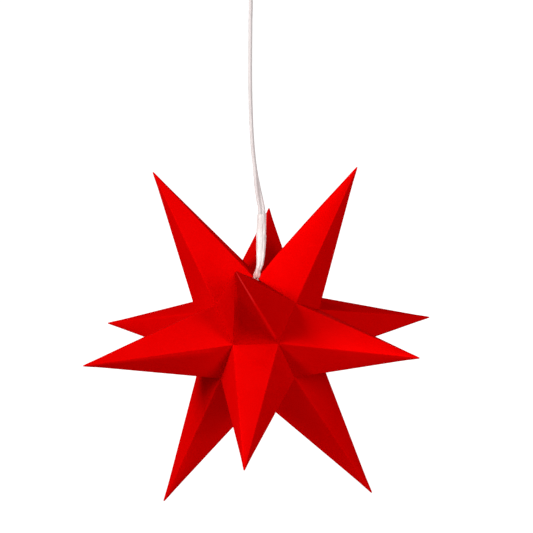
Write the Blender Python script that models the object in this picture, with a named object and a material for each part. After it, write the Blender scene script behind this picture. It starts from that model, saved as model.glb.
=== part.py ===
"""A red Christmas star of twelve folded film spikes with an LED lamp inside.

The star hangs on a short twin flex from a low-voltage screw coupling. The origin is the middle of the coupling's
upper face, +Z is up, and the star hangs below it.
"""

import math

import bmesh
import bpy
from mathutils import Vector

MM = 0.001

# Clearances
GAP = 0.3 * MM
OVERRUN = 2 * MM
MERGE = 0.001 * MM

# Star, measured from its centre
STAR_RADIUS = 90 * MM
CORE_RADIUS = 30 * MM
STAR_DROP = 220 * MM
FILM = 0.5 * MM
SEAM_GAP = 0.3 * MM
TAB_WIDTH = 5 * MM
TAB_RELIEF = 1.5 * MM
TAB_MITRE = 5.4 * MM
TIP_SAG = 2.5 * MM

# No two folded spikes point quite true: how far each tip stands off to the right and up, as shares of STAR_RADIUS
TIP_LEAN_SHARES = {
    "spike_top_left": (0.012, 0.014),
    "spike_top_right": (0.011, 0.022),
    "spike_front_high": (-0.021, -0.011),
    "spike_front_low": (-0.02, 0.023),
    "spike_back_high": (-0.009, 0),
    "spike_back_low": (0, 0),
    "spike_left_front": (-0.004, -0.013),
    "spike_left_back": (-0.003, -0.006),
    "spike_right_front": (0.006, -0.009),
    "spike_right_back": (-0.017, -0.012),
    "spike_bottom_left": (-0.01, -0.008),
    "spike_bottom_right": (0.019, 0.015),
}

# Nor do the corners sit true where three spikes meet: how far each one stands off to the right and up, as shares of
# CORE_RADIUS
CORNER_LEAN_SHARES = {
    ("spike_top_left", "spike_top_right", "spike_back_high"): (-0.016, -0.093),
    ("spike_top_left", "spike_front_high", "spike_left_front"): (-0.027, 0.006),
    ("spike_top_left", "spike_back_high", "spike_left_back"): (-0.002, -0.043),
    ("spike_top_left", "spike_left_front", "spike_left_back"): (-0.045, -0.009),
    ("spike_top_right", "spike_front_high", "spike_right_front"): (0.056, 0.005),
    ("spike_top_right", "spike_back_high", "spike_right_back"): (-0.013, -0.068),
    ("spike_front_high", "spike_front_low", "spike_left_front"): (0.029, 0.021),
    ("spike_front_high", "spike_front_low", "spike_right_front"): (0.02, 0.027),
    ("spike_front_low", "spike_right_front", "spike_bottom_right"): (-0.009, -0.012),
    ("spike_front_low", "spike_bottom_left", "spike_bottom_right"): (-0.015, -0.02),
    ("spike_right_front", "spike_right_back", "spike_bottom_right"): (-0.024, -0.005),
}

# Heat-shrink sleeve, from its mouth down to just above the film corner
SLEEVE_RADIUS = 2.25 * MM
SLEEVE_RISE = 29.3 * MM
SLEEVE_PITCH = 1.6 * MM
# Right, back and up from the film corner as shares of SLEEVE_RISE, and the radius there as a share of SLEEVE_RADIUS
SLEEVE_SHARES = (
    (0.122, 0.229, 1.0, 0.91),
    (0.121, 0.227, 0.95, 0.92),
    (0.113, 0.215, 0.82, 0.955),
    (0.102, 0.188, 0.65, 1.0),
    (0.097, 0.143, 0.464, 0.955),
    (0.083, 0.078, 0.266, 0.82),
    (0.056, 0.044, 0.15, 0.67),
    (0.036, 0.041, 0.098, 0.58),
)

# The lamp's two insulated cores
CORE_WIRE_RADIUS = 0.65 * MM
# Where they pass the film corner, right, back and up from it, as shares of SLEEVE_RISE
CORE_PASS_SHARES = (0.015, 0.031, 0.007)

# Stop bead under the film corner, clamped on the cores
BEAD_RADIUS = 4.4 * MM

# Lamp, hung on the cores below the bead
CORE_TAIL = 4 * MM
LAMP_FORWARD = 4.2 * MM
HOLDER_RADIUS = 6 * MM
HOLDER_LENGTH = 12 * MM
HOLDER_WALL = 1 * MM
HOLDER_STEP = 0.5 * MM
HOLDER_NECK_RADIUS = 3.2 * MM
HOLDER_NECK_LENGTH = 2.5 * MM
HOLDER_SHOULDER = 1.5 * MM
BOARD_THICKNESS = 1 * MM
LED_RADIUS = 2.5 * MM
LED_FLANGE_RADIUS = 2.9 * MM
LED_FLANGE = 1 * MM
LED_LENGTH = 8.6 * MM
DIFFUSER_WALL = 0.9 * MM
DIFFUSER_LENGTH = 20 * MM
DIFFUSER_LAP = 4 * MM
RESISTOR_RADIUS = 1 * MM
RESISTOR_LENGTH = 4 * MM
RESISTOR_HEIGHT = 2.6 * MM
WIRE_RADIUS = 0.3 * MM

# Twin flex: the tube is as wide as the flat flex
FLEX_WIDTH = 3.4 * MM
FLEX_PITCH = 6.8 * MM
FLEX_END = 4.5 * MM
SWING_ANGLE = math.radians(30)
SWING_GAP = 0.1 * MM
# The way down from the coupling to the sleeve, in millimetres from the origin, chosen along the photographed cord
FLEX_ROUTE_MM = (
    (0.6, 0.0, -53.0),
    (1.7, 0.0, -58.5),
    (2.25, 0.0, -64.0),
    (1.75, 0.0, -73.0),
    (1.3, -0.2, -82.2),
    (0.9, -0.4, -90.5),
    (0.55, -0.6, -99.0),
    (0.3, -1.0, -109.1),
    (0.25, -1.5, -119.3),
    (0.35, -2.0, -126.6),
    (0.65, -2.5, -133.6),
    (1.25, -3.0, -141.5),
    (1.9, -3.4, -148.4),
    (2.6, -3.7, -154.0),
)

# Coupling: its heights run down from its upper face
INSERT_RADIUS = 3.5 * MM
INSERT_PROUD = 7 * MM
INSERT_SEAT = 7 * MM
INSERT_CHAMFER = 0.4 * MM
KEY_WIDTH = 1.6 * MM
KEY_HEIGHT = 0.5 * MM
KEY_TOP = 1.5 * MM
KEY_LENGTH = 3.4 * MM
CONTACT_SPACING = 3.6 * MM
CONTACT_RADIUS = 0.8 * MM
CONTACT_BORE_RADIUS = 0.5 * MM
CONTACT_LENGTH = 8 * MM
CONTACT_BORE_DEPTH = 6 * MM
CONTACT_RECESS = 0.7 * MM
SEAL_RADIUS = 0.65 * MM
BODY_WALL = 0.8 * MM
FLANGE_STEP = 0.9 * MM
FLANGE_HEIGHT = 1.6 * MM
NECK_LENGTH = 6 * MM
GRIP_RADIUS = 5.4 * MM
GRIP_LENGTH = 11.4 * MM
GRIP_GROOVE = 0.5 * MM
GRIP_GROOVES = 4
GRIP_TAPER = 1.2 * MM
NUT_PLAY = 0.4 * MM
NUT_WALL = 1.2 * MM
NUT_RIB = 0.5 * MM
NUT_RIBS = 16
NUT_TOP = 2.6 * MM
NUT_LIP = 3 * MM
NUT_CHAMFER = 0.6 * MM
SPIGOT_RADIUS = 2.8 * MM
SPIGOT_LENGTH = 4.2 * MM
RELIEF_LENGTH = 17.7 * MM
RELIEF_TOP_RADIUS = 4.2 * MM
RELIEF_WALL = 0.6 * MM
RELIEF_SLOT = 0.6 * MM
RELIEF_SLOT_WIDTH = 1 * MM
RELIEF_SLOTS = 4
MOUTH_PLAY = 0.8 * MM
MOUTH_DEPTH = 1.55 * MM

# Facets
ROUND_SIDES = 32
SMALL_SIDES = 16
TUBE_SIDES = 12
WIRE_SIDES = 8
ARC_STEPS = 8
CURVE_STEPS = 8
SHARP_ANGLE = math.radians(35)

GOLDEN = (1 + math.sqrt(5)) / 2
STAR_CENTRE = Vector((0, 0, -STAR_DROP))

# Which way each spike points: the corners of an icosahedron that has one edge level across its top
SPIKE_WAYS = {
    "spike_top_left": (-1, 0, GOLDEN),
    "spike_top_right": (1, 0, GOLDEN),
    "spike_front_high": (0, -GOLDEN, 1),
    "spike_front_low": (0, -GOLDEN, -1),
    "spike_back_high": (0, GOLDEN, 1),
    "spike_back_low": (0, GOLDEN, -1),
    "spike_left_front": (-GOLDEN, -1, 0),
    "spike_left_back": (-GOLDEN, 1, 0),
    "spike_right_front": (GOLDEN, -1, 0),
    "spike_right_back": (GOLDEN, 1, 0),
    "spike_bottom_left": (-1, 0, -GOLDEN),
    "spike_bottom_right": (1, 0, -GOLDEN),
}
SPIKE_AXES = {name: Vector(way).normalized() for name, way in SPIKE_WAYS.items()}

# The corner of the film where the cord goes in, and which way it lies from the star's centre
CORNER_SPIKES = ("spike_top_left", "spike_top_right", "spike_front_high")
CORNER_WAY = sum((SPIKE_AXES[name] for name in CORNER_SPIKES), Vector()).normalized()
FILM_CORNER = STAR_CENTRE + CORNER_WAY * CORE_RADIUS

# The two cores lie side by side, and one hole size lets both through
CORE_SPREAD = CORE_WIRE_RADIUS + GAP / 2
CORE_WAY_RADIUS = CORE_SPREAD + CORE_WIRE_RADIUS + GAP

# Radii and heights along the coupling
NECK_RADIUS = INSERT_RADIUS + GAP + BODY_WALL
FLANGE_RADIUS = NECK_RADIUS + FLANGE_STEP
FLANGE_TOP = -INSERT_PROUD
FLANGE_FOOT = FLANGE_TOP - FLANGE_HEIGHT
NECK_FOOT = FLANGE_FOOT - NECK_LENGTH
GRIP_FOOT = NECK_FOOT - GRIP_LENGTH
RELIEF_TOP = GRIP_FOOT - GAP
RELIEF_FOOT = RELIEF_TOP - RELIEF_LENGTH
MOUTH_RADIUS = FLEX_WIDTH / 2 + MOUTH_PLAY
SWING_ROOM = FLEX_WIDTH / 2 * math.sin(SWING_ANGLE) + SWING_GAP
SWING_HEIGHT = RELIEF_FOOT + MOUTH_DEPTH - SWING_ROOM


def material(name, colour, roughness, metallic=0.0, alpha=1.0):
    made = bpy.data.materials.new(name)
    made.use_nodes = True
    shader = made.node_tree.nodes["Principled BSDF"]
    shader.inputs["Base Color"].default_value = (*colour, 1)
    shader.inputs["Roughness"].default_value = roughness
    shader.inputs["Metallic"].default_value = metallic
    shader.inputs["Alpha"].default_value = alpha
    made.diffuse_color = (*colour, alpha)
    return made


def hang_on(parent, made):
    """Parents an object and leaves it where it is."""
    made.parent = parent
    made.matrix_parent_inverse = parent.matrix_world.inverted()


def add_object(name, mesh, finish=None, parent=None):
    if finish:
        mesh.materials.append(finish)
    made = bpy.data.objects.new(name, mesh)
    bpy.context.scene.collection.objects.link(made)
    if parent:
        hang_on(parent, made)
    return made


def add_axis(name, place, parent=None):
    """An empty on a joint's axis, which carries the pieces that move with the joint."""
    made = bpy.data.objects.new(name, None)
    made.location = place
    bpy.context.scene.collection.objects.link(made)
    if parent:
        hang_on(parent, made)
    bpy.context.view_layer.update()
    return made


def as_mesh(name, shape, smooth=True):
    bmesh.ops.recalc_face_normals(shape, faces=shape.faces[:])
    mesh = bpy.data.meshes.new(name)
    shape.to_mesh(mesh)
    shape.free()
    if smooth:
        mesh.shade_smooth()
        mesh.set_sharp_from_angle(angle=SHARP_ANGLE)
    return mesh


def lathe(name, profile, sides=ROUND_SIDES, ring=False):
    """Turns a profile of (radius, height) points about Z. A ring's profile closes on itself."""
    shape = bmesh.new()
    verts = [shape.verts.new((radius, 0, height)) for radius, height in profile]
    edges = [shape.edges.new(pair) for pair in zip(verts, verts[1:])]
    if ring:
        edges.append(shape.edges.new((verts[-1], verts[0])))
    bmesh.ops.spin(
        shape,
        geom=verts + edges,
        axis=(0, 0, 1),
        cent=(0, 0, 0),
        angle=2 * math.pi,
        steps=sides,
        use_merge=True,
    )
    bmesh.ops.remove_doubles(shape, verts=shape.verts[:], dist=MERGE)
    return as_mesh(name, shape)


def loft(name, rings, smooth=True):
    """Skins a stack of rings that have as many points each, and caps both ends."""
    shape = bmesh.new()
    rows = [[shape.verts.new(point) for point in ring] for ring in rings]
    for lower, upper in zip(rows, rows[1:]):
        for i in range(len(lower)):
            j = (i + 1) % len(lower)
            shape.faces.new((lower[i], lower[j], upper[j], upper[i]))
    shape.faces.new(rows[0][::-1])
    shape.faces.new(rows[-1])
    return as_mesh(name, shape, smooth)


def arc(radius, first, last, steps=ARC_STEPS, centre=(0, 0)):
    """Points of (radius, height) on an arc, from one angle to another."""
    angles = [first + (last - first) * i / steps for i in range(steps + 1)]
    return [(centre[0] + radius * math.cos(a), centre[1] + radius * math.sin(a)) for a in angles]


def smooth_line(points, pitch):
    """Evenly spaced points, about a pitch apart, on a smooth curve through the given ones."""
    ends = [points[0] * 2 - points[1], *points, points[-1] * 2 - points[-2]]
    fine = []
    for before, start, end, after in zip(ends, ends[1:], ends[2:], ends[3:]):
        for i in range(CURVE_STEPS):
            t = i / CURVE_STEPS
            slope = (end - before) * t
            bend = (before * 2 - start * 5 + end * 4 - after) * t**2
            turn = (start * 3 - before - end * 3 + after) * t**3
            fine.append((start * 2 + slope + bend + turn) / 2)
    fine.append(points[-1])
    run = [0]
    for start, end in zip(fine, fine[1:]):
        run.append(run[-1] + (end - start).length)
    count = max(2, round(run[-1] / pitch))
    even = [fine[0]]
    at = 0
    for i in range(1, count):
        reach = run[-1] * i / count
        while run[at + 1] < reach:
            at += 1
        even.append(fine[at].lerp(fine[at + 1], (reach - run[at]) / (run[at + 1] - run[at])))
    return even + [fine[-1]]


def tube(name, points, radii, sides=TUBE_SIDES):
    """A round solid along a line of points, whose rings are carried along it without twist."""
    rings = []
    side = None
    for i, (point, radius) in enumerate(zip(points, radii)):
        ahead = (points[min(i + 1, len(points) - 1)] - points[max(i - 1, 0)]).normalized()
        if side is None:
            side = ahead.orthogonal().normalized()
        side = (side - ahead * side.dot(ahead)).normalized()
        other = ahead.cross(side)
        turns = [2 * math.pi * k / sides for k in range(sides)]
        rings.append([point + (side * math.cos(a) + other * math.sin(a)) * radius for a in turns])
    return loft(name, rings)


def beside(line, reach):
    """The line moved to the right by a reach, square to itself."""
    moved = []
    for i, point in enumerate(line):
        ahead = (line[min(i + 1, len(line) - 1)] - line[max(i - 1, 0)]).normalized()
        side = Vector((1, 0, 0)) - ahead * ahead.x
        moved.append(point + side.normalized() * reach)
    return moved


def boolean(target, helper, operation="DIFFERENCE"):
    """Cuts a helper from an object, or joins it on. The helper stays as a hidden guide."""
    helper.hide_render = True
    helper.display_type = "WIRE"
    modifier = target.modifiers.new(operation.title(), "BOOLEAN")
    modifier.operation = operation
    modifier.object = helper


def film_corner(axes):
    """The corner where three spikes meet, from the star's centre."""
    corner = sum(axes, Vector()).normalized() * CORE_RADIUS
    for names, (right, up) in CORNER_LEAN_SHARES.items():
        if all(SPIKE_AXES[name] in axes for name in names):
            corner += Vector((right, 0, up)) * CORE_RADIUS
    return corner


def base_corners(axis):
    """The corners that a spike stands on, in order round the spike, from the star's centre."""
    others = [other for other in SPIKE_AXES.values() if other != axis]
    near = sorted(others, key=lambda other: -other.dot(axis))[:5]
    side = axis.orthogonal().normalized()
    near.sort(key=lambda other: math.atan2(other.dot(axis.cross(side)), other.dot(side)))
    return [film_corner((axis, near[i], near[(i + 1) % 5])) for i in range(5)]


def tab_corners(feet, edge_middle, i):
    """A glue tab on one edge of a spike's foot: two root points, then two lip points, which mitre inwards."""
    along = (feet[(i + 1) % 5] - feet[i]).normalized()
    start = feet[i] + along * TAB_RELIEF
    end = feet[(i + 1) % 5] - along * TAB_RELIEF
    inward = -edge_middle.normalized() * TAB_WIDTH
    return start, end, end - along * TAB_MITRE + inward, start + along * TAB_MITRE + inward


def spike_feet(corners):
    """The corners of a spike's foot, drawn in so that neighbours' tabs leave the seam gap between them."""
    middle = sum(corners, Vector()) / 5
    edge_middle = (corners[0] + corners[1]) / 2
    inset = SEAM_GAP / 2 * edge_middle.length / middle.length
    share = 1 - inset / (edge_middle - middle).length
    return [middle + (corner - middle) * share for corner in corners]


def spike_sheet(axis, tip):
    """One film spike before its thickness: five panels, and a glue tab folded in along each foot."""
    corners = base_corners(axis)
    feet = spike_feet(corners)
    shape = bmesh.new()
    top = shape.verts.new(STAR_CENTRE + tip)
    ring = [shape.verts.new(STAR_CENTRE + foot) for foot in feet]
    for i in range(5):
        j = (i + 1) % 5
        tab = tab_corners(feet, corners[i] + corners[j], i)
        start, end, lip_end, lip_start = [shape.verts.new(STAR_CENTRE + point) for point in tab]
        shape.faces.new((ring[i], start, end, ring[j], top))
        shape.faces.new((end, start, lip_start, lip_end))
    return shape


def bead_centre():
    """The bead's centre, pulled up towards the film corner until the ball bears on the mitred tabs there."""
    reach = BEAD_RADIUS + GAP
    seats = []
    for name in CORNER_SPIKES:
        corners = base_corners(SPIKE_AXES[name])
        feet = spike_feet(corners)
        i = max(range(5), key=lambda k: corners[k].dot(CORNER_WAY))
        start, _, _, start_lip = tab_corners(feet, corners[i] + corners[(i + 1) % 5], i)
        _, end, end_lip, _ = tab_corners(feet, corners[i - 1] + corners[i], i - 1)
        for root, lip in ((start, start_lip), (end, end_lip)):
            for step in range(CURVE_STEPS + 1):
                point = root.lerp(lip, step / CURVE_STEPS)
                height = point.dot(CORNER_WAY)
                aside = min(reach, (point - CORNER_WAY * height).length)
                seats.append(height - math.sqrt(reach**2 - aside**2))
    return STAR_CENTRE + CORNER_WAY * min(seats)


def sleeve_line():
    """The sleeve's middle line from its mouth down, as points of (x, y, z, radius)."""
    line = []
    for right, back, up, width in SLEEVE_SHARES:
        place = FILM_CORNER + Vector((right, back, up)) * SLEEVE_RISE
        line.append(Vector((*place, width * SLEEVE_RADIUS)))
    return smooth_line(line, SLEEVE_PITCH)


def core_line(lamp_top, board_top):
    """The cores' middle line: from the sleeve, past the film corner and through the bead, to the lamp's board."""
    sleeve = sleeve_line()
    down = (sleeve[-1] - sleeve[-2]).xyz.normalized()
    bead = bead_centre()
    neck = Vector((0, -LAMP_FORWARD, lamp_top))
    points = [
        sleeve[-1].xyz + down * GAP,
        sleeve[-1].xyz + down * (GAP + 2 * CORE_WIRE_RADIUS),
        FILM_CORNER + Vector(CORE_PASS_SHARES) * SLEEVE_RISE,
        bead + CORNER_WAY * BEAD_RADIUS,
        bead - CORNER_WAY * BEAD_RADIUS,
        neck,
        neck - Vector((0, 0, HOLDER_NECK_LENGTH)),
        Vector((neck.x, neck.y, board_top + GAP)),
    ]
    return smooth_line(points, 2 * CORE_WIRE_RADIUS)


def add_spikes(finish, parent, core_way):
    for name, axis in SPIKE_AXES.items():
        right, up = TIP_LEAN_SHARES[name]
        sag = Vector((0, 0, -TIP_SAG * math.hypot(axis.x, axis.y)))
        tip = axis * STAR_RADIUS + sag + Vector((right, 0, up)) * STAR_RADIUS
        mesh = bpy.data.meshes.new(name)
        shape = spike_sheet(axis, tip)
        shape.to_mesh(mesh)
        shape.free()
        spike = add_object(name, mesh, finish, parent)
        film = spike.modifiers.new("Film", "SOLIDIFY")
        film.thickness = FILM
        film.offset = -1
        film.use_even_offset = True
        if name in CORNER_SPIKES:
            boolean(spike, core_way)


def add_bead(finish, parent):
    """A ball clamped on the cores, too big for the hole at the film corner."""
    rim = math.acos(CORE_WAY_RADIUS / BEAD_RADIUS)
    profile = arc(BEAD_RADIUS, rim, -rim)
    bead = add_object("stop_bead", lathe("stop_bead", profile, SMALL_SIDES, ring=True), finish)
    bead.rotation_mode = "QUATERNION"
    bead.rotation_quaternion = Vector((0, 0, 1)).rotation_difference(CORNER_WAY)
    bead.location = bead_centre()
    hang_on(parent, bead)


def add_lamp(finishes, parent, top):
    """Holder, board, LED, resistor and diffuser. Gives the height of the board's upper face."""
    foot = top - HOLDER_LENGTH
    neck_foot = top - HOLDER_NECK_LENGTH
    shoulder = neck_foot - HOLDER_SHOULDER
    ceiling = shoulder - HOLDER_WALL
    inside = HOLDER_RADIUS - HOLDER_WALL
    seat = inside + HOLDER_STEP
    board_top = foot + BOARD_THICKNESS
    holder = [
        (CORE_WAY_RADIUS, top),
        (CORE_WAY_RADIUS, ceiling),
        (inside, ceiling),
        (inside, board_top + GAP),
        (seat, board_top + GAP),
        (seat, foot),
        (HOLDER_RADIUS, foot),
        (HOLDER_RADIUS, shoulder),
        (HOLDER_NECK_RADIUS, neck_foot),
        (HOLDER_NECK_RADIUS, top),
    ]
    board = [(0, board_top), (seat - GAP, board_top), (seat - GAP, foot), (0, foot)]
    led_top = foot - GAP
    dome = led_top - LED_LENGTH + LED_RADIUS
    led = [
        (0, led_top),
        (LED_FLANGE_RADIUS, led_top),
        (LED_FLANGE_RADIUS, led_top - LED_FLANGE),
        (LED_RADIUS, led_top - LED_FLANGE),
        *arc(LED_RADIUS, 0, -math.pi / 2, centre=(0, dome)),
    ]
    inner = HOLDER_RADIUS + GAP
    outer = inner + DIFFUSER_WALL
    rim = foot + DIFFUSER_LAP
    ball = rim - DIFFUSER_LENGTH + outer
    diffuser = [
        *arc(inner, -math.pi / 2, 0, centre=(0, ball)),
        (inner, rim),
        (outer, rim),
        *arc(outer, 0, -math.pi / 2, centre=(0, ball)),
    ]
    pieces = (
        ("lamp_holder", lathe("lamp_holder", holder, ring=True), "white"),
        ("lamp_board", lathe("lamp_board", board), "board"),
        ("led", lathe("led", led, SMALL_SIDES), "clear"),
        ("lamp_diffuser", lathe("lamp_diffuser", diffuser), "frosted"),
        ("series_resistor", resistor_mesh(board_top), "resistor"),
    )
    for name, mesh, finish in pieces:
        piece = add_object(name, mesh, finishes[finish])
        piece.location.y = -LAMP_FORWARD
        hang_on(parent, piece)
    return board_top


def resistor_mesh(board_top):
    """A resistor across the back of the board, on its own bent wires, behind the cores."""
    foot = board_top + GAP
    high = board_top + RESISTOR_HEIGHT
    half = RESISTOR_LENGTH / 2
    bend = 2 * WIRE_RADIUS
    spread = half + WIRE_RADIUS + bend
    back = CORE_WIRE_RADIUS + RESISTOR_RADIUS + 2 * GAP
    wire = [(spread, foot), (spread, high - bend), (spread - bend, high), (half, high)]
    line = [(-x, z, WIRE_RADIUS) for x, z in wire]
    line += [(-half, high, RESISTOR_RADIUS), (half, high, RESISTOR_RADIUS)]
    line += [(x, z, WIRE_RADIUS) for x, z in wire[::-1]]
    return stepped_tube("series_resistor", [(Vector((x, back, z)), radius) for x, z, radius in line])


def stepped_tube(name, line):
    """A round solid whose radius may step where two points of its line meet."""
    rings = []
    side = Vector((0, 1, 0))
    for i, (point, radius) in enumerate(line):
        before = [p for p, _ in line[:i] if p != point]
        after = [p for p, _ in line[i + 1:] if p != point]
        ahead = ((after[0] if after else point) - (before[-1] if before else point)).normalized()
        other = ahead.cross(side)
        turns = [2 * math.pi * k / WIRE_SIDES for k in range(WIRE_SIDES)]
        rings.append([point + (side * math.cos(a) + other * math.sin(a)) * radius for a in turns])
    return loft(name, rings)


def add_flex(finish, parent, mouth):
    """The twin flex's free stretch, from the strain relief to the mouth of the sleeve."""
    start = Vector((0, 0, SWING_HEIGHT))
    end = mouth + Vector((0, 0, GAP))
    straight = Vector((0, 0, FLEX_END))
    route = [start, start - straight]
    route += [Vector(point) * MM for point in FLEX_ROUTE_MM]
    route += [end + straight, end]
    points = smooth_line(route, FLEX_PITCH)
    curve = bpy.data.curves.new("lead_flex", "CURVE")
    curve.dimensions = "3D"
    curve.bevel_depth = FLEX_WIDTH / 2
    curve.bevel_resolution = 2
    curve.use_fill_caps = True
    spline = curve.splines.new("POLY")
    spline.points.add(len(points) - 1)
    for spot, point in zip(spline.points, points):
        spot.co = (*point, 1)
    add_object("lead_flex", curve, finish, parent)


def add_insert(finishes):
    """The coupling's insert: a plug of plastic with a key and two blind holes, each with its contact tube."""
    foot = FLANGE_TOP - INSERT_SEAT
    profile = [
        (0, 0),
        (INSERT_RADIUS - INSERT_CHAMFER, 0),
        (INSERT_RADIUS, -INSERT_CHAMFER),
        (INSERT_RADIUS, foot),
        (0, foot),
    ]
    insert = add_object("coupling_insert", lathe("coupling_insert", profile), finishes["white"])
    half = KEY_WIDTH / 2
    deep = INSERT_RADIUS - KEY_HEIGHT
    proud = INSERT_RADIUS + KEY_HEIGHT
    section = [(-half, deep), (half, deep), (half, proud), (-half, proud)]
    ends = [[(x, y, z) for x, y in section] for z in (-KEY_TOP - KEY_LENGTH, -KEY_TOP)]
    boolean(insert, add_object("insert_key", loft("insert_key", ends, smooth=False)), "UNION")
    top = -CONTACT_RECESS
    end = top - CONTACT_LENGTH
    hole_radius = CONTACT_RADIUS + GAP
    hole = [(0, OVERRUN), (hole_radius, OVERRUN), (hole_radius, end - GAP), (0, end - GAP)]
    contact = [
        (0, end),
        (CONTACT_RADIUS, end),
        (CONTACT_RADIUS, top),
        (CONTACT_BORE_RADIUS, top),
        (CONTACT_BORE_RADIUS, top - CONTACT_BORE_DEPTH),
        (0, top - CONTACT_BORE_DEPTH),
    ]
    for name, side in (("contact_plus", -1), ("contact_minus", 1)):
        cutter = add_object(f"{name}_hole", lathe(f"{name}_hole", hole, SMALL_SIDES))
        cutter.location.x = side * CONTACT_SPACING / 2
        boolean(insert, cutter)
        piece = add_object(name, lathe(name, contact, SMALL_SIDES), finishes["brass"])
        piece.location.x = side * CONTACT_SPACING / 2


def add_body(finishes):
    """The coupling's body, which grips the insert and keeps the union nut on, and its seal ring."""
    socket = INSERT_RADIUS + GAP
    floor = FLANGE_TOP - INSERT_SEAT - GAP
    spigot_hole = SPIGOT_RADIUS + GAP
    spigot_roof = RELIEF_TOP + SPIGOT_LENGTH + GAP
    profile = [
        (0, floor),
        (socket, floor),
        (socket, FLANGE_TOP),
        (FLANGE_RADIUS, FLANGE_TOP),
        (FLANGE_RADIUS, FLANGE_FOOT),
        (NECK_RADIUS, FLANGE_FOOT),
        (NECK_RADIUS, NECK_FOOT),
        (GRIP_RADIUS, NECK_FOOT),
    ]
    pitch = (GRIP_LENGTH - GRIP_TAPER) / (2 * GRIP_GROOVES + 1)
    for groove in range(GRIP_GROOVES):
        start = NECK_FOOT - (2 * groove + 1) * pitch
        profile += [
            (GRIP_RADIUS, start),
            (GRIP_RADIUS - GRIP_GROOVE, start - pitch / 4),
            (GRIP_RADIUS - GRIP_GROOVE, start - pitch * 3 / 4),
            (GRIP_RADIUS, start - pitch),
        ]
    profile += [
        (GRIP_RADIUS, GRIP_FOOT + GRIP_TAPER),
        (GRIP_RADIUS - GRIP_TAPER, GRIP_FOOT),
        (spigot_hole, GRIP_FOOT),
        (spigot_hole, spigot_roof),
        (0, spigot_roof),
    ]
    add_object("coupling_body", lathe("coupling_body", profile), finishes["white"])
    centre = (INSERT_RADIUS + GAP + SEAL_RADIUS, FLANGE_TOP + GAP + SEAL_RADIUS)
    section = arc(SEAL_RADIUS, 0, 2 * math.pi, centre=centre)[:-1]
    add_object("seal_ring", lathe("seal_ring", section, ring=True), finishes["rubber"])


def add_nut(finish, parent):
    """The union nut: a ribbed cap with a wide mouth and a lip under the body's flange."""
    shelf = FLANGE_FOOT - GAP
    foot = shelf - NUT_LIP
    mouth = FLANGE_RADIUS + NUT_PLAY
    valley = mouth + NUT_WALL
    crest = valley + NUT_RIB
    outline = []
    for rib in range(NUT_RIBS):
        for quarter, radius in enumerate((crest, crest, valley, valley)):
            angle = 2 * math.pi * (rib + quarter / 4) / NUT_RIBS
            outline.append(Vector((radius * math.cos(angle), radius * math.sin(angle), 0)))
    narrow = 1 - NUT_CHAMFER / crest
    levels = ((foot, narrow), (foot + NUT_CHAMFER, 1), (-NUT_TOP - NUT_CHAMFER, 1), (-NUT_TOP, narrow))
    rings = [[point * scale + Vector((0, 0, height)) for point in outline] for height, scale in levels]
    nut = add_object("union_nut", loft("union_nut", rings), finish, parent)
    hollow = [
        (0, OVERRUN),
        (mouth, OVERRUN),
        (mouth, shelf),
        (NECK_RADIUS + GAP, shelf),
        (NECK_RADIUS + GAP, foot - OVERRUN),
        (0, foot - OVERRUN),
    ]
    boolean(nut, add_object("nut_hollow", lathe("nut_hollow", hollow)))


def add_relief(finish):
    """The strain relief: a soft slotted taper on the body's foot, with a mouth that the flex swings in."""
    spigot_top = RELIEF_TOP + SPIGOT_LENGTH
    foot_radius = MOUTH_RADIUS + RELIEF_WALL
    taper = (RELIEF_TOP_RADIUS - foot_radius) / RELIEF_LENGTH
    pitch = RELIEF_LENGTH / (RELIEF_SLOTS + 1)
    profile = [(0, spigot_top), (SPIGOT_RADIUS, spigot_top), (SPIGOT_RADIUS, RELIEF_TOP)]
    profile.append((RELIEF_TOP_RADIUS, RELIEF_TOP))
    for slot in range(RELIEF_SLOTS):
        upper = pitch * (slot + 1) - RELIEF_SLOT_WIDTH / 2
        lower = upper + RELIEF_SLOT_WIDTH
        for down, depth in ((upper, 0), (upper, RELIEF_SLOT), (lower, RELIEF_SLOT), (lower, 0)):
            profile.append((RELIEF_TOP_RADIUS - taper * down - depth, RELIEF_TOP - down))
    profile += [
        (foot_radius, RELIEF_FOOT),
        (MOUTH_RADIUS, RELIEF_FOOT),
        (MOUTH_RADIUS, RELIEF_FOOT + MOUTH_DEPTH),
        (0, RELIEF_FOOT + MOUTH_DEPTH),
    ]
    add_object("strain_relief", lathe("strain_relief", profile), finish)


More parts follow.
